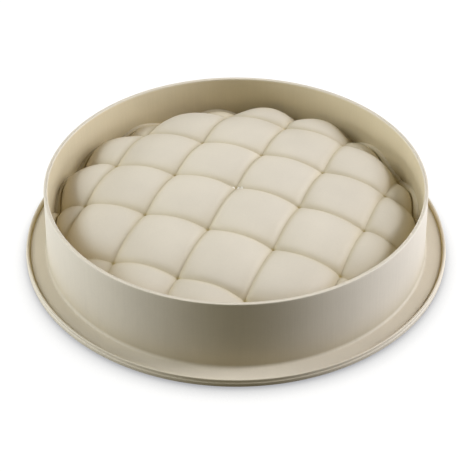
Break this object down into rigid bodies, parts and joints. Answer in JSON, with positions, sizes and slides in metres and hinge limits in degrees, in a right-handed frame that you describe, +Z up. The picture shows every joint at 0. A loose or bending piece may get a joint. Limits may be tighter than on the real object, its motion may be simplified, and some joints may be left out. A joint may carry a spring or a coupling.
{
  "type": "silicone cake mould",
  "caption": "Round shallow silicone cake mould with a quilted pillow dome, a standing ring wall and a flat lipped brim, shown filling side down.",
  "frame": {"origin": "centre of the brim's underside, which is the mouth of the cavity and what the mould stands on", "axes": "+Z up along the mould's axis, from the brim to the top of the ring wall; +X right and +Y back as seen in the picture"},
  "size_m": [0.226, 0.226, 0.0402],
  "materials": {
    "ring_wall": "satin platinum-cured silicone",
    "base_brim": "satin platinum-cured silicone",
    "brim_lip": "satin platinum-cured silicone",
    "quilted_dome": "satin platinum-cured silicone"
  },
  "bodies": {
    "root": {"ring_wall": "ring_wall", "base_brim": "base_brim", "brim_lip": "brim_lip", "quilted_dome": "quilted_dome"}
  },
  "joints": []
}
